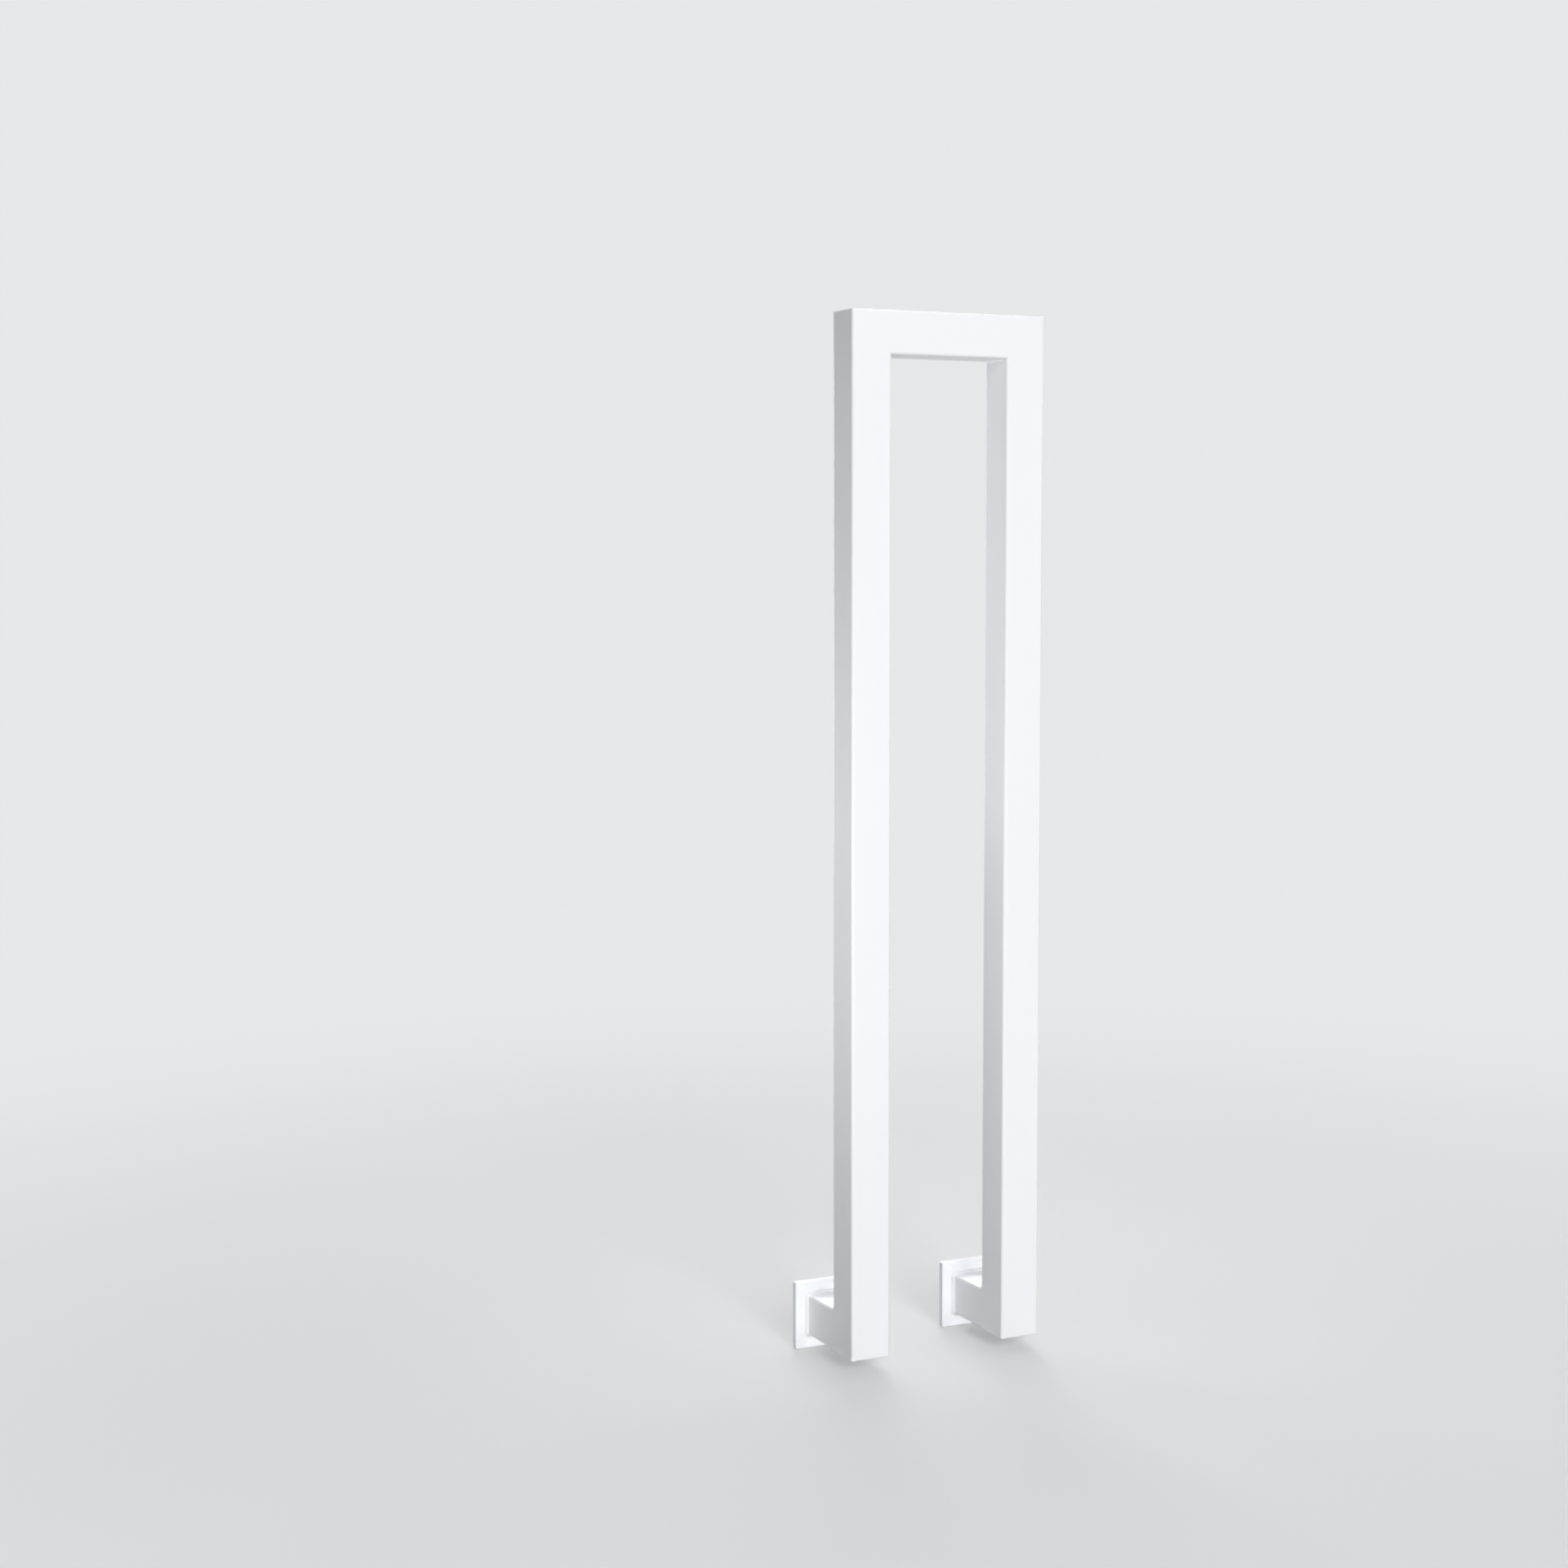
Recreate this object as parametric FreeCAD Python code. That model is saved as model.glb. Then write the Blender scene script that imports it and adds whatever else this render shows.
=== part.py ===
import FreeCAD, Part
import os

# A short side-fixed railing: one welded inverted U of square steel tube, held
# off its wall by two short level arms, each with a screwed plate on its end.
#
# Frame, in millimetres: the origin is the centre of the front plate's back
# face.  +X runs from the front post to the rear post, +Y goes into the wall
# (the wall is the plane y = 0), +Z is up.

# ---------------------------------------------------------------- dimensions
TUBE = 40.0             # outer side of the square tube
WALL = 2.0              # tube wall
TUBE_R = 3.0            # tube's outer corner radius
BORE_R = 1.0            # tube's inner corner radius

FRAME_WIDTH = 200.0     # over the two posts, along the run
FRAME_HEIGHT = 965.0    # foot to the top of the handrail
WALL_GAP = 60.0         # wall to the posts' back faces

CAP_T = 3.0             # foot cap thickness
CAP_RIM_R = 1.5         # ground rounding round the foot cap's lower rim

PLATE = 65.0            # side of the square wall plate
PLATE_T = 6.0           # its thickness
PLATE_CORNER_R = 2.0    # its four corners
PLATE_RIM_R = 0.8       # rounding round its front rim

SCREW_HOLE_R = 2.75     # through hole in the plate
SCREW_SINK_R = 5.3      # countersink at the plate's front, 90 degrees
SCREW_INSET = 7.5       # hole centre to the plate's edges

MITRE_R = 1.2           # ground rounding along the frame's two top edges
COPE = 1.5              # how far an arm's end wraps the post's round corners

# ------------------------------------------------------------ derived places
H = TUBE / 2.0
FOOT_Z = -H                              # arms are level with the posts' feet
TOP_Z = FOOT_Z + FRAME_HEIGHT
RAIL_Z = TOP_Z - H                       # handrail axis
POST_X = (0.0, FRAME_WIDTH - TUBE)       # post axes
POST_Y = -(WALL_GAP + H)
BACK_Y = -WALL_GAP                       # posts' back faces


def V(x, y, z):
    return FreeCAD.Vector(x, y, z)


def rounded_square(side, r, place):
    """Closed wire of a square with arc corners; place(u, v) puts it in space."""
    a = side / 2.0
    k = r * 0.5 ** 0.5
    edges = []
    for (cu, cv), (su, sv) in (
        ((a - r, a - r), (1, 1)),
        ((-(a - r), a - r), (-1, 1)),
        ((-(a - r), -(a - r)), (-1, -1)),
        ((a - r, -(a - r)), (1, -1)),
    ):
        # each corner's arc, and the straight that leads to the next corner
        if su * sv > 0:
            p0, p1 = (cu + su * r, cv), (cu, cv + sv * r)
        else:
            p0, p1 = (cu, cv + sv * r), (cu + su * r, cv)
        pm = (cu + su * k, cv + sv * k)
        edges.append(Part.Arc(place(*p0), place(*pm), place(*p1)).toShape())
        nxt = {
            (1, 1): (-(a - r), a),
            (-1, 1): (-a, -(a - r)),
            (-1, -1): (a - r, -a),
            (1, -1): (a, a - r),
        }[(su, sv)]
        edges.append(Part.LineSegment(place(*p1), place(*nxt)).toShape())
    return Part.Wire(edges)


def bar(side, r, place, along):
    """Solid bar of rounded-square section swept along a vector."""
    return Part.Face(rounded_square(side, r, place)).extrude(along)


def tube(place, along):
    outer = bar(TUBE, TUBE_R, place, along)
    bore = bar(TUBE - 2.0 * WALL, BORE_R, place, along)
    return outer.cut(bore)


def wedge(points):
    """Prism over a polygon in XZ, wide enough in Y to cut a whole tube."""
    y0 = POST_Y - TUBE
    pts = [V(x, y0, z) for x, z in points]
    pts.append(pts[0])
    return Part.Face(Part.makePolygon(pts)).extrude(V(0, 2.0 * TUBE, 0))


def edge_round(x, z, sx):
    """What grinding takes off the sharp top edge at (x, z); sx points outwards."""
    r = MITRE_R
    block = wedge([
        (x - sx * r, z - r), (x + sx, z - r), (x + sx, z + 1.0), (x - sx * r, z + 1.0)
    ])
    rod = Part.makeCylinder(
        r, 2.0 * TUBE + 10.0, V(x - sx * r, POST_Y - TUBE - 5.0, z - r), V(0, 1, 0)
    )
    return block.cut(rod)


def single(shape):
    shape = shape.removeSplitter()
    assert len(shape.Solids) == 1, len(shape.Solids)
    solid = shape.Solids[0]
    assert solid.isValid()
    return solid


LEFT = POST_X[0] - H            # frame's front end in X
RIGHT = POST_X[1] + H                    # and its rear end
BIG = 300.0
rounds = [edge_round(LEFT, TOP_Z, -1.0), edge_round(RIGHT, TOP_Z, 1.0)]


# ---------------------------------------------------------------------- posts
def make_post(x, sx):
    """Upright tube, cut at 45 degrees at the top; sx points out of the frame."""
    z0 = FOOT_Z + CAP_T
    shape = tube(lambda u, v: V(x + u, POST_Y + v, z0), V(0, 0, TOP_Z + 5.0 - z0))
    mitre = wedge([
        (x + sx * 2.0 * TUBE, RAIL_Z + 2.0 * TUBE),
        (x - sx * 2.0 * TUBE, RAIL_Z - 2.0 * TUBE),
        (x - sx * 2.0 * TUBE, RAIL_Z + BIG),
        (x + sx * 2.0 * TUBE, RAIL_Z + BIG),
    ])
    shape = shape.cut(mitre)
    for r in rounds:
        shape = shape.cut(r)
    return single(shape)


# ------------------------------------------------------------------- handrail
def make_handrail():
    """Level tube across the top, cut at 45 degrees at both ends."""
    shape = tube(
        lambda u, v: V(LEFT - 5.0, POST_Y + u, RAIL_Z + v),
        V(RIGHT - LEFT + 10.0, 0, 0),
    )
    for x, sx in ((POST_X[0], -1.0), (POST_X[1], 1.0)):
        below = wedge([
            (x + sx * 2.0 * TUBE, RAIL_Z + 2.0 * TUBE),
            (x - sx * 1.5 * TUBE, RAIL_Z - 1.5 * TUBE),
            (x + sx * 2.0 * TUBE, RAIL_Z - 1.5 * TUBE),
        ])
        shape = shape.cut(below)
    for r in rounds:
        shape = shape.cut(r)
    return single(shape)


# ------------------------------------------------------------------ standoffs
def make_standoff(x):
    """Level tube from the post's back face to the plate's front face.  Its post
    end is coped, so that it wraps a little way round the post's corners."""
    shape = tube(
        lambda u, v: V(x + u, BACK_Y - COPE, v),
        V(0, WALL_GAP + COPE - PLATE_T, 0),
    )
    post_skin = bar(
        TUBE, TUBE_R, lambda u, v: V(x + u, POST_Y + v, FOOT_Z - 5.0), V(0, 0, TUBE + 10.0)
    )
    return single(shape.cut(post_skin))


# ---------------------------------------------------------------- wall plates
def make_plate(x):
    a = PLATE / 2.0
    plate = Part.makeBox(PLATE, PLATE_T, PLATE, V(x - a, -PLATE_T, -a))
    corners = [
        e for e in plate.Edges
        if abs(e.Vertexes[0].Point.y - e.Vertexes[1].Point.y) > PLATE_T / 2.0
    ]
    plate = plate.makeFillet(PLATE_CORNER_R, corners)
    rim = [
        e for e in plate.Edges
        if all(abs(v.Point.y + PLATE_T) < 1e-6 for v in e.Vertexes)
    ]
    plate = plate.makeFillet(PLATE_RIM_R, rim)
    sink = SCREW_SINK_R - SCREW_HOLE_R
    d = a - SCREW_INSET
    for sx in (-1, 1):
        for sz in (-1, 1):
            cx, cz = x + sx * d, sz * d
            hole = Part.makeCylinder(
                SCREW_HOLE_R, PLATE_T + 2.0, V(cx, -PLATE_T - 1.0, cz), V(0, 1, 0)
            )
            cone = Part.makeCone(
                SCREW_SINK_R, SCREW_HOLE_R, sink, V(cx, -PLATE_T, cz), V(0, 1, 0)
            )
            plate = plate.cut(hole).cut(cone)
    return single(plate)


# ------------------------------------------------------------------ foot caps
def make_cap(x):
    cap = bar(TUBE, TUBE_R, lambda u, v: V(x + u, POST_Y + v, FOOT_Z), V(0, 0, CAP_T))
    rim = [
        e for e in cap.Edges
        if all(abs(v.Point.z - FOOT_Z) < 1e-6 for v in e.Vertexes)
    ]
    return single(cap.makeFillet(CAP_RIM_R, rim))


parts = {
    "front_post": make_post(POST_X[0], -1.0),
    "rear_post": make_post(POST_X[1], 1.0),
    "handrail": make_handrail(),
    "front_standoff": make_standoff(POST_X[0]),
    "rear_standoff": make_standoff(POST_X[1]),
    "front_wall_plate": make_plate(POST_X[0]),
    "rear_wall_plate": make_plate(POST_X[1]),
    "front_foot_cap": make_cap(POST_X[0]),
    "rear_foot_cap": make_cap(POST_X[1]),
}

os.makedirs("parts", exist_ok=True)
for name, solid in parts.items():
    solid.exportStep(os.path.join("parts", name + ".step"))
    b = solid.BoundBox
    print("%-18s x %7.2f %7.2f  y %7.2f %7.2f  z %7.2f %7.2f  %8.0f mm3  %s" % (
        name, b.XMin, b.XMax, b.YMin, b.YMax, b.ZMin, b.ZMax, solid.Volume,
        "closed" if solid.isClosed() else "OPEN"))
total = sum(s.Volume for s in parts.values())
print("steel %.0f mm3, %.2f kg" % (total, total * 7.85e-6))
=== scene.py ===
import math

import bmesh
import bpy
from mathutils import Matrix, Vector


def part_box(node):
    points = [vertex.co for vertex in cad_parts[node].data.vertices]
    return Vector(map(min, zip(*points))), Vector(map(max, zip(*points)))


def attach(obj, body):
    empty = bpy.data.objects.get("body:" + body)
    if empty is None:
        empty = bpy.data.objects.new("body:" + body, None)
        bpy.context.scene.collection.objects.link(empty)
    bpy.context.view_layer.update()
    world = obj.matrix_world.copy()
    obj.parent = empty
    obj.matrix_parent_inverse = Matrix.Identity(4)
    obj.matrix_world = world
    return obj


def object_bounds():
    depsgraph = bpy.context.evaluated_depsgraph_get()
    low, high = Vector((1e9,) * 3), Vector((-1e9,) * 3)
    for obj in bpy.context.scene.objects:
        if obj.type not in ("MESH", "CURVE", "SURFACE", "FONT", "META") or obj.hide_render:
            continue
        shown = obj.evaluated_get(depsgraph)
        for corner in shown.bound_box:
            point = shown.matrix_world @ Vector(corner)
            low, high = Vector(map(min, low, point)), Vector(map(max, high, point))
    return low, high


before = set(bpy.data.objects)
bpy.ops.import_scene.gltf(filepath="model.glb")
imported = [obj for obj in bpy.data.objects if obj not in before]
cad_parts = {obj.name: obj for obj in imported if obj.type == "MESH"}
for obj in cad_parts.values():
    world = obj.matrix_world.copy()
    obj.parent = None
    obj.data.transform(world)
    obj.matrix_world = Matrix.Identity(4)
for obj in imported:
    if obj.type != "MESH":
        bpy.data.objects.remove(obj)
CAD_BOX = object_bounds()
MM = 0.001


# =============================================================== the real sizes
# Read from the frame itself, so that every added piece sits on what carries it.
P0, P1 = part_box("front_post")
Q0, Q1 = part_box("rear_post")
R0, R1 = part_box("handrail")
A0, A1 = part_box("front_standoff")
C0, C1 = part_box("front_foot_cap")
W0, W1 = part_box("front_wall_plate")

HALF = (P1.x - P0.x) / 2                 # half of the square tube
CORNER = 3.0 * MM                        # its outer corner radius
POST_X = ((P0.x + P1.x) / 2, (Q0.x + Q1.x) / 2)
POST_Y = (P0.y + P1.y) / 2
BACK_Y = P1.y                            # the posts' back faces
FOOT_Z = C0.z                            # underside of the foot caps
CAP_Z = C1.z                             # seam between cap and post
RAIL_Z = (R0.z + R1.z) / 2
PLATE_Y = W0.y                           # the wall plates' front faces
PLATE_HALF = (W1.x - W0.x) / 2
ARM_Z = (W0.z + W1.z) / 2


# ==================================================================== materials
def new_material(name):
    m = bpy.data.materials.new(name)
    m.use_nodes = True
    m.node_tree.nodes.clear()
    return m, m.node_tree.nodes, m.node_tree.links


def ramp(nodes, stops):
    r = nodes.new("ShaderNodeValToRGB")
    e = r.color_ramp.elements
    while len(e) < len(stops):
        e.new(0.5)
    for k, (pos, col) in zip(e, stops):
        k.position = pos
        k.color = (*col, 1.0)
    return r


def noise_node(nodes, links, vector, scale, detail=2.0, rough=0.5, lac=2.0):
    n = nodes.new("ShaderNodeTexNoise")
    n.inputs["Scale"].default_value = scale
    n.inputs["Detail"].default_value = detail
    n.inputs["Roughness"].default_value = rough
    n.inputs["Lacunarity"].default_value = lac
    links.new(vector, n.inputs["Vector"])
    return n


def powder_coat(name, tint=(1.0, 1.0, 1.0), rough=(0.285, 0.345), peel=1.0):
    """White powder coat: a faintly uneven film with a fine orange peel."""
    m, nodes, links = new_material(name)
    out = nodes.new("ShaderNodeOutputMaterial")
    bsdf = nodes.new("ShaderNodeBsdfPrincipled")
    links.new(bsdf.outputs["BSDF"], out.inputs["Surface"])
    bsdf.inputs["IOR"].default_value = 1.5
    bsdf.inputs["Metallic"].default_value = 0.0
    where = nodes.new("ShaderNodeTexCoord").outputs["Object"]

    # film colour, a little cooler and thinner in soft patches a hand wide
    cloud = noise_node(nodes, links, where, 3.4, 1.0, 0.4)
    a = tuple(c * t for c, t in zip((0.846, 0.864, 0.888), tint))
    b = tuple(c * t for c, t in zip((0.858, 0.875, 0.897), tint))
    film = ramp(nodes, [(0.30, a), (0.70, b)])
    links.new(cloud.outputs["Fac"], film.inputs["Fac"])
    links.new(film.outputs["Color"], bsdf.inputs["Base Color"])

    # gloss, a little uneven where the film flowed out better
    flow = noise_node(nodes, links, where, 38.0, 3.0, 0.6)
    gloss = nodes.new("ShaderNodeMapRange")
    gloss.inputs["From Min"].default_value = 0.3
    gloss.inputs["From Max"].default_value = 0.7
    gloss.inputs["To Min"].default_value = rough[0]
    gloss.inputs["To Max"].default_value = rough[1]
    links.new(flow.outputs["Fac"], gloss.inputs["Value"])
    links.new(gloss.outputs["Result"], bsdf.inputs["Roughness"])

    # orange peel about 1.5 mm across, over a very slight wave of the tube wall
    peel_n = noise_node(nodes, links, where, 620.0, 1.5, 0.4)
    wave_n = noise_node(nodes, links, where, 26.0, 1.0, 0.4)
    b_wave = nodes.new("ShaderNodeBump")
    b_wave.inputs["Strength"].default_value = 0.35
    b_wave.inputs["Distance"].default_value = 0.25 * MM
    links.new(wave_n.outputs["Fac"], b_wave.inputs["Height"])
    b_peel = nodes.new("ShaderNodeBump")
    b_peel.inputs["Strength"].default_value = 0.5 * peel
    b_peel.inputs["Distance"].default_value = 0.10 * MM
    links.new(peel_n.outputs["Fac"], b_peel.inputs["Height"])
    links.new(b_wave.outputs["Normal"], b_peel.inputs["Normal"])
    links.new(b_peel.outputs["Normal"], bsdf.inputs["Normal"])
    return m


def moulded(name, base, rough):
    """Moulded plastic: an even tone with the faint grain of the mould."""
    m, nodes, links = new_material(name)
    out = nodes.new("ShaderNodeOutputMaterial")
    bsdf = nodes.new("ShaderNodeBsdfPrincipled")
    links.new(bsdf.outputs["BSDF"], out.inputs["Surface"])
    bsdf.inputs["IOR"].default_value = 1.49
    bsdf.inputs["Roughness"].default_value = rough
    where = nodes.new("ShaderNodeTexCoord").outputs["Object"]
    cloud = noise_node(nodes, links, where, 60.0, 1.0, 0.4)
    tone = ramp(nodes, [(0.3, tuple(c * 0.985 for c in base)), (0.7, base)])
    links.new(cloud.outputs["Fac"], tone.inputs["Fac"])
    links.new(tone.outputs["Color"], bsdf.inputs["Base Color"])
    grain = noise_node(nodes, links, where, 2600.0, 1.0, 0.5)
    bump = nodes.new("ShaderNodeBump")
    bump.inputs["Strength"].default_value = 0.4
    bump.inputs["Distance"].default_value = 0.02 * MM
    links.new(grain.outputs["Fac"], bump.inputs["Height"])
    links.new(bump.outputs["Normal"], bsdf.inputs["Normal"])
    return m


def zinc_plate(name):
    """Bright zinc on steel, with a cloudy tone and fine machining lines."""
    m, nodes, links = new_material(name)
    out = nodes.new("ShaderNodeOutputMaterial")
    bsdf = nodes.new("ShaderNodeBsdfPrincipled")
    links.new(bsdf.outputs["BSDF"], out.inputs["Surface"])
    bsdf.inputs["Metallic"].default_value = 1.0
    where = nodes.new("ShaderNodeTexCoord").outputs["Object"]
    cloud = noise_node(nodes, links, where, 420.0, 3.0, 0.6)
    tone = ramp(nodes, [(0.3, (0.55, 0.56, 0.58)), (0.7, (0.70, 0.71, 0.72))])
    links.new(cloud.outputs["Fac"], tone.inputs["Fac"])
    links.new(tone.outputs["Color"], bsdf.inputs["Base Color"])
    gloss = ramp(nodes, [(0.3, (0.32, 0.32, 0.32)), (0.7, (0.46, 0.46, 0.46))])
    links.new(cloud.outputs["Fac"], gloss.inputs["Fac"])
    links.new(gloss.outputs["Color"], bsdf.inputs["Roughness"])
    fine = noise_node(nodes, links, where, 1800.0, 2.0, 0.6)
    bump = nodes.new("ShaderNodeBump")
    bump.inputs["Strength"].default_value = 0.5
    bump.inputs["Distance"].default_value = 0.03 * MM
    links.new(fine.outputs["Fac"], bump.inputs["Height"])
    links.new(bump.outputs["Normal"], bsdf.inputs["Normal"])
    return m


ZINC = zinc_plate("zinc_plated_steel")
CAP_PLASTIC = moulded("white_cap_plastic", (0.862, 0.874, 0.890), 0.30)
COAT = powder_coat("white_powder_coat_film")
COAT_WELD = powder_coat("white_powder_coat_on_weld", tint=(0.99, 0.99, 0.988),
                        rough=(0.29, 0.36), peel=1.4)

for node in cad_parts.values():
    node.data.materials.clear()
    node.data.materials.append(COAT)


# ==================================================================== mesh tools
def mesh_object(name, verts, faces, material, smooth=True):
    me = bpy.data.meshes.new(name)
    me.from_pydata([tuple(v) for v in verts], [], faces)
    me.validate()
    me.materials.append(material)
    if smooth:
        me.polygons.foreach_set("use_smooth", [True] * len(me.polygons))
    me.update()
    ob = bpy.data.objects.new(name, me)
    bpy.context.scene.collection.objects.link(ob)
    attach(ob, "root")
    return ob


def wobble(s, seed):
    """Smooth, repeatable unevenness between about -1 and 1 along a length s (m)."""
    k = 2 * math.pi / (31.0 * MM)
    return (
        0.5 * math.sin(k * s + 1.7 * seed)
        + 0.3 * math.sin(2.27 * k * s + 0.6 + 2.9 * seed)
        + 0.2 * math.sin(4.9 * k * s + 2.1 + 4.3 * seed)
    )


def rounded_square_path(cx, cv, half, r, step):
    """Points (u, v), outward normals and running length round a rounded square."""
    pts = []
    s = 0.0
    corners = [(1, 1), (-1, 1), (-1, -1), (1, -1)]
    start = [0.0, 90.0, 180.0, 270.0]
    flat = 2 * (half - r)
    arc = math.pi / 2 * r
    n_flat = max(2, round(flat / step))
    n_arc = max(6, round(arc / step * 1.6))
    # each side is followed by the corner that it runs into
    for (su, sv), a0 in zip(corners, start):
        ang = math.radians(a0)
        nu, nv = math.cos(ang), math.sin(ang)
        tu, tv = -nv, nu
        for i in range(n_flat):
            f = i / n_flat
            d = -flat / 2 + flat * f
            pts.append(((cx + nu * half + tu * d, cv + nv * half + tv * d),
                        (nu, nv), s + flat * f))
        s += flat
        ccx = cx + su * (half - r)
        ccv = cv + sv * (half - r)
        for i in range(n_arc):
            f = i / n_arc
            t = ang + math.pi / 2 * f
            pts.append(((ccx + r * math.cos(t), ccv + r * math.sin(t)),
                        (math.cos(t), math.sin(t)), s + arc * f))
        s += arc
    return pts, s


def bead(name, rows, closed, leg_a, leg_b, ripple, pitch, seed, bulge=0.34, cols=10,
         ends=0.0, low=0.5, sink=0.0):
    """A fillet weld laid along rows of (corner point, direction A, direction B,
    running length).  Direction A lies on one face and B on the other, both away
    from the corner.  The bead shows overlapping crescents, softened by the paint,
    and its two toes lie just under the faces.  Over the length `ends` at either
    end it shrinks to the share `low` and sinks into the corner by `sink`."""
    verts, faces = [], []
    total = rows[-1][3]
    for p, da, db, s in rows:
        taper = 1.0
        if ends:
            edge = math.sin(min(1.0, min(s, total - s) / ends) * math.pi / 2)
            taper = low + (1.0 - low) * edge
            p = p - (da + db).normalized() * (sink * (1.0 - edge))
        la = leg_a * (1 + 0.07 * wobble(s, seed)) * taper
        lb = leg_b * (1 + 0.07 * wobble(s + 0.4, seed + 3)) * taper
        out = (da + db).normalized()
        for j in range(cols + 1):
            t = j / cols
            chord = da * (la * (1 - t)) + db * (lb * t)
            ang = t * math.pi / 2
            round_ = da * (la * math.cos(ang)) + db * (lb * math.sin(ang))
            q = chord.lerp(round_, bulge)
            mid = 4 * t * (1 - t)
            phase = (s - 0.9 * pitch * (1 - mid) + 0.18 * pitch * wobble(s * 1.7, seed + 5)) / pitch
            saw = phase - math.floor(phase)
            crest = math.sin(math.pi * saw ** 0.62) ** 1.4
            q = q + out * (ripple * crest * (0.35 + 0.65 * mid) * taper)
            if j == 0:
                q = da * (la * 1.03) - db * (0.06 * MM)
            elif j == cols:
                q = db * (lb * 1.03) - da * (0.06 * MM)
            verts.append(p + q)
    n = len(rows)
    w = cols + 1
    for i in range(n if closed else n - 1):
        k = (i + 1) % n
        for j in range(cols):
            faces.append((i * w + j, k * w + j, k * w + j + 1, i * w + j + 1))
    if not closed:
        # flat ends that reach into the corner
        for i, back in ((0, True), (n - 1, False)):
            base = len(verts)
            p, da, db, _ = rows[i]
            verts.extend(Vector(verts[i * w + j]) for j in range(cols + 1))
            verts.append(p - (da + db) * (0.05 * MM))
            loop = tuple(range(base, base + cols + 2))
            faces.append(tuple(reversed(loop)) if back else loop)
    return name, verts, faces


def flip_if_inward(verts, faces, outward):
    """Turns the faces over if their mean normal points against outward(centre)."""
    acc = 0.0
    for f in faces[:: max(1, len(faces) // 400)]:
        a, b, c = (Vector(verts[i]) for i in f[:3])
        n = (b - a).cross(c - a)
        mid = (a + b + c) / 3
        acc += n.dot(outward(mid))
    if acc < 0:
        faces = [tuple(reversed(f)) for f in faces]
    return faces


# ============================================================= welds at the plates
def plate_bead(side, x, seed):
    """All round an arm's end, between the arm and its wall plate."""
    path, length = rounded_square_path(x, ARM_Z, HALF, CORNER, 0.30 * MM)
    rows = []
    db = Vector((0, -1, 0))
    for (u, v), (nu, nv), s in path:
        rows.append((Vector((u, PLATE_Y, v)), Vector((nu, 0, nv)), db, s))
    # a whole number of crescents round the loop, so that it closes cleanly
    pitch = length / round(length / (1.75 * MM))
    verts, faces = [], []
    cols = 9
    for p, da, db_, s in rows:
        a = 2 * math.pi * s / length
        uneven = 0.5 * math.sin(3 * a + seed) + 0.35 * math.sin(7 * a + 2.0 * seed) \
            + 0.15 * math.sin(17 * a + seed)
        la = 2.35 * MM * (1 + 0.07 * uneven)
        lb = 2.9 * MM * (1 + 0.08 * math.sin(5 * a + 0.7 + seed) + 0.03 * math.sin(13 * a))
        out = (da + db_).normalized()
        for j in range(cols + 1):
            t = j / cols
            chord = da * (la * (1 - t)) + db_ * (lb * t)
            ang = t * math.pi / 2
            arc = da * (la * math.cos(ang)) + db_ * (lb * math.sin(ang))
            q = chord.lerp(arc, 0.30)
            mid = 4 * t * (1 - t)
            phase = s / pitch + 0.8 * mid + 0.16 * math.sin(11 * a + seed)
            saw = phase - math.floor(phase)
            crest = math.sin(math.pi * saw ** 0.62) ** 1.4
            q = q + out * (0.20 * MM * crest * (0.3 + 0.7 * mid))
            if j == 0:
                q = da * (la * 1.04) - db_ * (0.06 * MM)
            elif j == cols:
                q = db_ * (lb * 1.04) - da * (0.06 * MM)
            verts.append(p + q)
    n, w = len(rows), cols + 1
    for i in range(n):
        k = (i + 1) % n
        for j in range(cols):
            faces.append((i * w + j, k * w + j, k * w + j + 1, i * w + j + 1))
    centre = Vector((x, PLATE_Y, ARM_Z))
    faces = flip_if_inward(
        verts, faces,
        lambda m: Vector((m.x - centre.x, 0, m.z - centre.z)).normalized() + Vector((0, -1, 0)),
    )
    return mesh_object(side + "_plate_weld", verts, faces, COAT_WELD)


# ============================================= welds in the corner over each arm
def corner_drop(d):
    """How far the tube's round corner has fallen away d beyond its flat."""
    d = min(max(d, 0.0), CORNER * 0.999)
    return CORNER - math.sqrt(CORNER * CORNER - d * d)


def across_tube(step):
    """Places across a tube, -HALF to HALF, closer together round its corners."""
    flat = HALF - CORNER
    n = max(2, round(2 * flat / step))
    turn = [math.radians(88.0) * i / 16 for i in range(1, 17)]
    mid = [-flat + 2 * flat * i / n for i in range(n + 1)]
    end = [flat + CORNER * math.sin(t) for t in turn]
    return [-e for e in reversed(end)] + mid + end


def arm_bead(side, x, seed):
    """Across the top of an arm, in the corner it makes with the post's back.  It
    runs on over the two round corners and is ground off flush with the sides."""
    rows = []
    s = 0.0
    last = None
    for u in across_tube(0.28 * MM):
        d = corner_drop(abs(u) - (HALF - CORNER))
        p = Vector((x + u, BACK_Y - d, ARM_Z + HALF - d))
        if last is not None:
            s += (p - last).length
        last = p
        rows.append((p, Vector((0, 0, 1)), Vector((0, 1, 0)), s))
    name, verts, faces = bead(side + "_arm_weld", rows, False, 2.3 * MM, 2.6 * MM,
                              0.18 * MM, 1.7 * MM, seed, ends=3.0 * MM, low=0.90)
    faces = flip_if_inward(verts, faces, lambda m: Vector((0, 1, 1)))
    return mesh_object(name, verts, faces, COAT_WELD)


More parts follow.
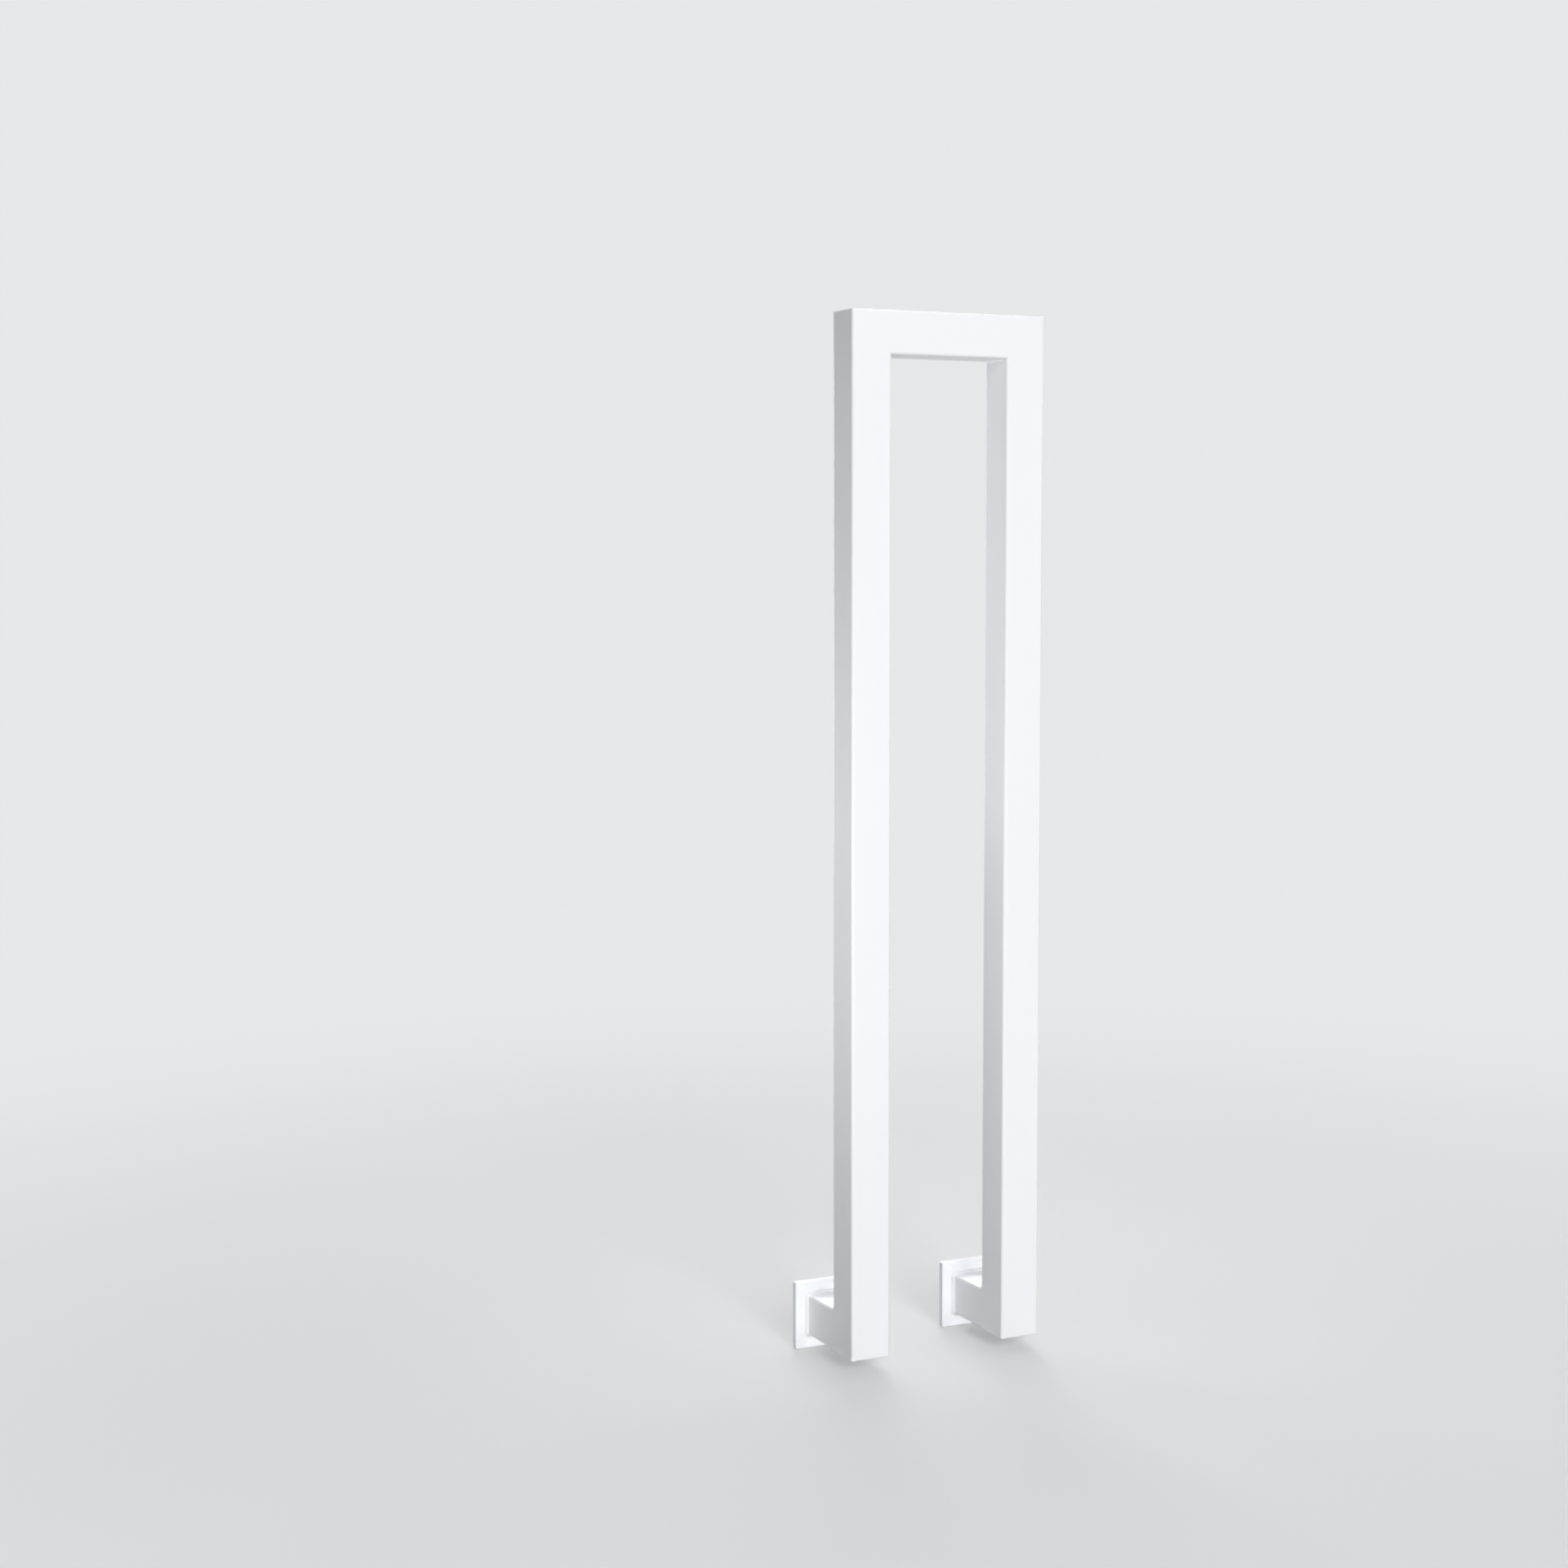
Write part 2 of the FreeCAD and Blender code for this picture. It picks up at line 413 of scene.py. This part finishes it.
# ===================================================== welds in the mitre corners
def mitre_bead(side, x, sx, seed):
    """In the inner corner between a post and the handrail.  It dies away before
    the tubes' round corners, where the mitre was ground clean."""
    rows = []
    reach = HALF - CORNER + 0.6 * MM
    n = 130
    s = 0.0
    last = None
    for i in range(n + 1):
        u = -reach + 2 * reach * i / n
        d = corner_drop(abs(u) - (HALF - CORNER))
        p = Vector((x + sx * (HALF - d), POST_Y + u, RAIL_Z - HALF + d))
        if last is not None:
            s += (p - last).length
        last = p
        rows.append((p, Vector((sx, 0, 0)), Vector((0, 0, -1)), s))
    name, verts, faces = bead(side + "_mitre_weld", rows, False, 1.7 * MM, 1.7 * MM,
                              0.10 * MM, 1.6 * MM, seed, bulge=0.12, ends=3.5 * MM, low=0.35,
                              sink=0.75 * MM)
    faces = flip_if_inward(verts, faces, lambda m: Vector((sx, 0, -1)))
    return mesh_object(name, verts, faces, COAT_WELD)


# ================================================================== ground seams
def seam_strip(verts, faces, line, outwards, across, half_width, proud, seed, lift=None,
               ramp=4.0 * MM):
    """A weld ground nearly flush: a very shallow crown along a line of points,
    which sinks under the faces over the length `ramp` at either end."""
    cols = 8
    base = len(verts)
    n = len(line)
    total = sum((line[i] - line[i - 1]).length for i in range(1, n))
    s = 0.0
    for i, p in enumerate(line):
        if i:
            s += (p - line[i - 1]).length
        o = outwards[i] if isinstance(outwards, list) else outwards
        c = across[i] if isinstance(across, list) else across
        w = half_width * (1 + 0.10 * wobble(s, seed))
        h = proud * (1 + 0.25 * wobble(s * 0.7 + 0.3, seed + 2))
        end = max(0.0, min(1.0, min(s, total - s) / ramp))
        end = end * end * (3 - 2 * end) * (lift[i] if lift else 1.0)
        for j in range(cols + 1):
            t = -1 + 2 * j / cols
            crown = (1 - t * t) ** 1.5
            verts.append(p + c * (w * t) + o * ((h + 0.05 * MM) * crown * end - 0.05 * MM))
    wdt = cols + 1
    for i in range(n - 1):
        for j in range(cols):
            a = base + i * wdt + j
            faces.append((a, a + wdt, a + wdt + 1, a + 1))


def straight(a, b, n):
    return [a.lerp(b, i / n) for i in range(n + 1)]


def oriented(verts, faces, start_face, outward):
    """Flips the faces from start_face on so that they face outward."""
    a, b, c = (Vector(verts[i]) for i in faces[start_face][:3])
    if (b - a).cross(c - a).dot(outward) < 0:
        for k in range(start_face, len(faces)):
            faces[k] = tuple(reversed(faces[k]))


def chained(ring):
    """The part of a closed path that is left after a cut, from end to end."""
    gap = max(range(len(ring)), key=lambda i: (
        (ring[i][0][0] - ring[i - 1][0][0]) ** 2 + (ring[i][0][1] - ring[i - 1][0][1]) ** 2))
    return ring[gap:] + ring[:gap]


def ground_seams(side, x, sx, seed):
    """The seams that were ground flush: the mitre's line at the back, the
    arm's two sides and underside against the post, and the foot cap's rim."""
    verts, faces = [], []
    inner = Vector((x + sx * (HALF - CORNER), 0, RAIL_Z - (HALF - CORNER)))
    # the strip is 2.2 mm wide to either side, so its outer end stops short of
    # the two round corners
    stop = HALF - CORNER - 1.8 * MM
    outer = Vector((x - sx * stop, 0, RAIL_Z + stop))
    along = (outer - inner).normalized()
    cross = Vector((along.z, 0, -along.x))
    for y, o in ((POST_Y + HALF, Vector((0, 1, 0))),):
        f0 = len(faces)
        a = Vector((inner.x, y, inner.z))
        b = Vector((outer.x, y, outer.z))
        seam_strip(verts, faces, straight(a, b, 60), o, cross, 2.2 * MM, 0.035 * MM, seed + y)
        oriented(verts, faces, f0, o)
    # arm against post: down one side, under the arm and up the other side
    path, length = rounded_square_path(x, ARM_Z, HALF, CORNER, 0.7 * MM)
    top = ARM_Z + HALF - CORNER + 0.3 * MM
    ring = chained([q for q in path if q[0][1] < top])
    f0 = len(faces)
    seam_strip(verts, faces, [Vector((u, BACK_Y - 1.5 * MM, v)) for (u, v), _, _ in ring],
               [Vector((nu, 0, nv)) for _, (nu, nv), _ in ring], Vector((0, 1, 0)),
               3.1 * MM, 0.045 * MM, seed + 2, ramp=5.0 * MM)
    oriented(verts, faces, f0, Vector((ring[0][1][0], 0, ring[0][1][1])))
    # foot cap's seam, along the three sides that show
    path, length = rounded_square_path(x, POST_Y, HALF, CORNER, 0.8 * MM)
    ring = chained([q for q in path if q[0][1] < BACK_Y - 1.6 * MM])
    line = [Vector((u, v, CAP_Z)) for (u, v), _, _ in ring]
    outs = [Vector((nu, nv, 0)) for _, (nu, nv), _ in ring]
    # flush at the front, where the tube's face is the outermost plane
    lift = [1.0 - max(0.0, -nv) ** 0.5 for _, (nu, nv), _ in ring]
    f0 = len(faces)
    seam_strip(verts, faces, line, outs, Vector((0, 0, 1)), 1.25 * MM, 0.04 * MM, seed + 9,
               lift)
    oriented(verts, faces, f0, outs[0])
    return mesh_object(side + "_ground_seams", verts, faces, COAT_WELD)


# ======================================================================== screws
def lathe_y(verts, faces, cx, cz, rings, n):
    """Closed solid of revolution about an axis along Y; rings are (radius, y)
    from the back end to the front end."""
    base = len(verts)
    for r, y in rings:
        for i in range(n):
            a = 2 * math.pi * i / n
            verts.append(Vector((cx + r * math.cos(a), y, cz + r * math.sin(a))))
    for k in range(len(rings) - 1):
        for i in range(n):
            j = (i + 1) % n
            faces.append((base + k * n + i, base + k * n + j,
                          base + (k + 1) * n + j, base + (k + 1) * n + i))
    back, front = len(verts), len(verts) + 1
    verts.append(Vector((cx, rings[0][1], cz)))
    verts.append(Vector((cx, rings[-1][1], cz)))
    last = base + (len(rings) - 1) * n
    for i in range(n):
        j = (i + 1) % n
        faces.append((back, base + j, base + i))
        faces.append((front, last + i, last + j))


def outward_normals(ob):
    bm = bmesh.new()
    bm.from_mesh(ob.data)
    bmesh.ops.recalc_face_normals(bm, faces=bm.faces[:])
    bm.to_mesh(ob.data)
    bm.free()


def screw_places(x):
    d = PLATE_HALF - 7.5 * MM
    return [(x + ix * d, ARM_Z + iz * d) for ix in (-1, 1) for iz in (-1, 1)]


def screws(side, x):
    """Four countersunk screws; only their shanks' ends show, from behind."""
    verts, faces = [], []
    top = PLATE_Y + 0.75 * MM
    for cx, cz in screw_places(x):
        rings = [(1.95 * MM, -0.20 * MM), (2.30 * MM, -0.45 * MM)]
        # rolled thread on the part of the shank inside the hole
        y, k = -0.60 * MM, 0
        while y > top + 2.6 * MM:
            rings.append((2.62 * MM if k % 2 == 0 else 2.25 * MM, y))
            y -= 0.35 * MM
            k += 1
        rings += [(2.50 * MM, top + 2.35 * MM), (4.45 * MM, top + 0.35 * MM),
                  (4.55 * MM, top + 0.20 * MM), (4.45 * MM, top + 0.04 * MM),
                  (4.25 * MM, top)]
        lathe_y(verts, faces, cx, cz, rings, 48)
    ob = mesh_object(side + "_plate_screws", verts, faces, ZINC)
    outward_normals(ob)
    ob.data.set_sharp_from_angle(angle=math.radians(40))
    return ob


def screw_caps(side, x):
    """Snap-in covers over the screw heads, a hair below the plate at their rims."""
    verts, faces = [], []
    for cx, cz in screw_places(x):
        rings = [(2.2 * MM, PLATE_Y + 0.74 * MM), (4.55 * MM, PLATE_Y + 0.72 * MM),
                 (4.80 * MM, PLATE_Y + 0.46 * MM)]
        # rolled rim, then a shallow dome
        for t in range(0, 91, 15):
            a = math.radians(t)
            rings.append(((4.66 + 0.22 * math.cos(a)) * MM,
                          PLATE_Y + (0.28 - 0.22 * math.sin(a)) * MM))
        for i in range(1, 12):
            f = i / 12
            r = 4.66 * (1 - f)
            rings.append((r * MM, PLATE_Y + (0.06 - 0.30 * math.sin(f * math.pi / 2) ** 1.0) * MM))
        lathe_y(verts, faces, cx, cz, rings, 64)
    ob = mesh_object(side + "_screw_caps", verts, faces, CAP_PLASTIC)
    outward_normals(ob)
    ob.data.set_sharp_from_angle(angle=math.radians(50))
    return ob


for side, x, sx, seed in (("front", POST_X[0], 1.0, 1), ("rear", POST_X[1], -1.0, 4)):
    plate_bead(side, x, seed)
    arm_bead(side, x, seed + 1)
    mitre_bead(side, x, sx, seed + 2)
    ground_seams(side, x, sx, seed)
    screws(side, x)
    screw_caps(side, x)


# ========================================================================= stage
GROUND_Z = CAD_BOX[0].z - 0.4 * MM
BACKDROP = (0.795, 0.802, 0.812)


def make_floor():
    m, nodes, links = new_material("studio_floor")
    out = nodes.new("ShaderNodeOutputMaterial")
    # near the object a pale matt sweep that takes its shadows, far away the
    # plain tone of the backdrop
    near = nodes.new("ShaderNodeBsdfDiffuse")
    near.inputs["Color"].default_value = (0.42, 0.424, 0.43, 1.0)
    lift = nodes.new("ShaderNodeEmission")
    lift.name = "lift"
    lift.inputs["Color"].default_value = (0.985, 0.993, 1.0, 1.0)
    lift.inputs["Strength"].default_value = 0.29
    sweep = nodes.new("ShaderNodeAddShader")
    links.new(near.outputs["BSDF"], sweep.inputs[0])
    links.new(lift.outputs["Emission"], sweep.inputs[1])
    far = nodes.new("ShaderNodeEmission")
    far.name = "far"
    far.inputs["Color"].default_value = (*BACKDROP, 1.0)
    far.inputs["Strength"].default_value = 1.0
    where = nodes.new("ShaderNodeTexCoord").outputs["Object"]
    ln = nodes.new("ShaderNodeVectorMath")
    ln.operation = "LENGTH"
    links.new(where, ln.inputs[0])
    fade = nodes.new("ShaderNodeMapRange")
    fade.interpolation_type = "SMOOTHSTEP"
    fade.inputs["From Min"].default_value = -0.3
    fade.inputs["From Max"].default_value = 2.1
    links.new(ln.outputs["Value"], fade.inputs["Value"])
    seen = nodes.new("ShaderNodeMixShader")
    links.new(fade.outputs["Result"], seen.inputs["Fac"])
    links.new(sweep.outputs["Shader"], seen.inputs[1])
    links.new(far.outputs["Emission"], seen.inputs[2])
    # the light that it sends back up is held down, as by a grey cloth
    matt = nodes.new("ShaderNodeBsdfDiffuse")
    matt.inputs["Color"].default_value = (0.50, 0.503, 0.507, 1.0)
    dim = nodes.new("ShaderNodeEmission")
    dim.name = "dim"
    dim.inputs["Color"].default_value = (0.985, 0.993, 1.0, 1.0)
    dim.inputs["Strength"].default_value = 0.66
    back = nodes.new("ShaderNodeMixShader")
    links.new(fade.outputs["Result"], back.inputs["Fac"])
    links.new(matt.outputs["BSDF"], back.inputs[1])
    links.new(dim.outputs["Emission"], back.inputs[2])
    path = nodes.new("ShaderNodeLightPath")
    mix = nodes.new("ShaderNodeMixShader")
    links.new(path.outputs["Is Camera Ray"], mix.inputs["Fac"])
    links.new(back.outputs["Shader"], mix.inputs[1])
    links.new(seen.outputs["Shader"], mix.inputs[2])
    links.new(mix.outputs["Shader"], out.inputs["Surface"])
    n = 64
    R = 60.0
    verts = [(0, 0, 0)]
    rings = [1.0, 3.0, 8.0, 20.0, R]
    for r in rings:
        for i in range(n):
            a = 2 * math.pi * i / n
            verts.append((r * math.cos(a), r * math.sin(a), 0))
    faces = [(0, 1 + i, 1 + (i + 1) % n) for i in range(n)]
    for k in range(len(rings) - 1):
        for i in range(n):
            j = (i + 1) % n
            a = 1 + k * n
            faces.append((a + i, a + n + i, a + n + j, a + j))
    me = bpy.data.meshes.new("studio_floor")
    me.from_pydata(verts, [], faces)
    me.materials.append(m)
    ob = bpy.data.objects.new("studio_floor", me)
    ob.location = ((POST_X[0] + POST_X[1]) / 2, POST_Y, GROUND_Z)
    bpy.context.scene.collection.objects.link(ob)
    return ob


make_floor()


# ======================================================================== lights
AIM = Vector(((POST_X[0] + POST_X[1]) / 2, POST_Y, 0.45))


def aimed(ob, target):
    ob.rotation_mode = "QUATERNION"
    ob.rotation_quaternion = (Vector(target) - ob.location).to_track_quat("-Z", "Y")


def softbox(name, place, target, width, height, power, color=(1, 1, 1), spread=180):
    li = bpy.data.lights.new(name, "AREA")
    li.shape = "RECTANGLE"
    li.size, li.size_y = width, height
    li.energy = power
    li.color = color
    li.spread = math.radians(spread)
    ob = bpy.data.objects.new(name, li)
    ob.location = Vector(place)
    aimed(ob, target)
    ob.visible_camera = False
    bpy.context.scene.collection.objects.link(ob)
    return ob


def sun(name, direction, strength, angle, color=(1, 1, 1)):
    """direction points from the object to the light."""
    li = bpy.data.lights.new(name, "SUN")
    li.energy = strength
    li.angle = math.radians(angle)
    li.color = color
    ob = bpy.data.objects.new(name, li)
    ob.location = AIM + Vector(direction).normalized() * 4
    aimed(ob, AIM)
    bpy.context.scene.collection.objects.link(ob)
    return ob


def spot(name, place, target, power, angle, blend, soft):
    li = bpy.data.lights.new(name, "SPOT")
    li.energy = power
    li.spot_size = math.radians(angle)
    li.spot_blend = blend
    li.shadow_soft_size = soft
    ob = bpy.data.objects.new(name, li)
    ob.location = Vector(place)
    aimed(ob, target)
    bpy.context.scene.collection.objects.link(ob)
    return ob


sun("key", (-0.12, -1.0, 0.50), 2.01, 20)
softbox("strip_left", (-2.05, -1.45, 0.55), AIM, 0.16, 2.4, 8)
softbox("low_left", (-0.53, -0.20, 0.42), (-0.02, -0.08, 0.40), 0.30, 0.20, 0.215,
        color=(1.0, 0.985, 1.0), spread=96)
softbox("inner", (-0.02, 0.55, 0.66), (0.14, -0.08, 0.56), 0.30, 0.60, 0.92, spread=125)
softbox("strip_right", (1.25, 0.36, 1.15), (0.18, -0.08, 0.75), 0.25, 0.5, 1.5)
softbox("back", (1.5, 2.2, 2.9), AIM, 1.6, 1.6, 24)
softbox("overhead", (0.55, 0.62, 2.60), (0.10, -0.06, 0.90), 1.0, 1.0, 8)
softbox("back_low", (0.70, 1.50, 1.05), (0.08, -0.06, 0.02), 0.8, 0.5, 1.05, spread=50)
# a small low light on each wall plate, which the post would leave in its shadow
for k, x in enumerate(POST_X):
    at = Vector((x - 0.014, PLATE_Y, ARM_Z - 0.002))
    spot("plate_light_%d" % (k + 1), at + Vector((-0.70, -1.07, 0.10)), at, 11, 3.2, 1.0, 0.03)
    # and one on the plate's upper border behind the post, and one along the
    # floor on its lower border under the arm
    at = Vector((x + 0.006, PLATE_Y, ARM_Z + 0.028))
    spot("upper_light_%d" % (k + 1), at + Vector((-0.85, -0.95, 0.22)), at, 50, 1.5, 1.0, 0.01)
    at = Vector((x - 0.008, PLATE_Y, ARM_Z - 0.028))
    spot("lower_light_%d" % (k + 1), at + Vector((-0.25, -1.20, 0.004)), at, 42, 1.5, 1.0, 0.003)


def make_world():
    w = bpy.data.worlds.new("studio")
    bpy.context.scene.world = w
    w.use_nodes = True
    nodes, links = w.node_tree.nodes, w.node_tree.links
    nodes.clear()
    out = nodes.new("ShaderNodeOutputWorld")
    seen = nodes.new("ShaderNodeBackground")
    seen.inputs["Color"].default_value = (*BACKDROP, 1.0)
    seen.inputs["Strength"].default_value = 1.0
    even = nodes.new("ShaderNodeBackground")
    even.name = "even"
    even.inputs["Color"].default_value = (0.975, 0.985, 1.0, 1.0)
    even.inputs["Strength"].default_value = 0.10
    # a wide soft glow from the front and right, none from the left
    glow = nodes.new("ShaderNodeBackground")
    glow.name = "glow"
    glow.inputs["Strength"].default_value = 0.32
    direction = nodes.new("ShaderNodeTexCoord").outputs["Generated"]
    side = nodes.new("ShaderNodeVectorMath")
    side.operation = "DOT_PRODUCT"
    side.inputs[1].default_value = Vector((0.80, -0.55, 0.22)).normalized()
    links.new(direction, side.inputs[0])
    span = nodes.new("ShaderNodeMapRange")
    span.inputs["From Min"].default_value = -0.35
    span.inputs["From Max"].default_value = 0.75
    links.new(side.outputs["Value"], span.inputs["Value"])
    r = ramp(nodes, [(0.0, (0.0, 0.0, 0.0)), (1.0, (0.985, 0.99, 1.0))])
    r.color_ramp.interpolation = "EASE"
    links.new(span.outputs["Result"], r.inputs["Fac"])
    links.new(r.outputs["Color"], glow.inputs["Color"])
    both = nodes.new("ShaderNodeAddShader")
    links.new(even.outputs["Background"], both.inputs[0])
    links.new(glow.outputs["Background"], both.inputs[1])
    path = nodes.new("ShaderNodeLightPath")
    mix = nodes.new("ShaderNodeMixShader")
    links.new(path.outputs["Is Camera Ray"], mix.inputs["Fac"])
    links.new(both.outputs["Shader"], mix.inputs[1])
    links.new(seen.outputs["Background"], mix.inputs[2])
    links.new(mix.outputs["Shader"], out.inputs["Surface"])


make_world()


# ======================================================================== camera
def make_camera():
    cam = bpy.data.cameras.new("camera")
    cam.sensor_width = 36.0
    cam.lens = 2600.0 * 36.0 / 1601.0
    cam.clip_start, cam.clip_end = 0.05, 200.0
    yaw, pitch, roll = 0.44414, 0.08727, -0.00177
    f0 = Vector((math.sin(yaw), math.cos(yaw), 0))
    up0 = Vector((0, 0, 1))
    right = Vector((math.cos(yaw), -math.sin(yaw), 0))
    fwd = f0 * math.cos(pitch) - up0 * math.sin(pitch)
    up = up0 * math.cos(pitch) + f0 * math.sin(pitch)
    rr = right * math.cos(roll) + up * math.sin(roll)
    uu = up * math.cos(roll) - right * math.sin(roll)
    m = Matrix((rr, uu, -fwd)).transposed().to_4x4()
    m.translation = Vector((-1.06579, -2.15330, 0.71968))
    ob = bpy.data.objects.new("camera", cam)
    ob.matrix_world = m
    bpy.context.scene.collection.objects.link(ob)
    bpy.context.scene.camera = ob


make_camera()

scene = bpy.context.scene
scene.view_settings.view_transform = "Standard"
scene.view_settings.look = "None"
scene.view_settings.exposure = 0.0
scene.view_settings.gamma = 1.0
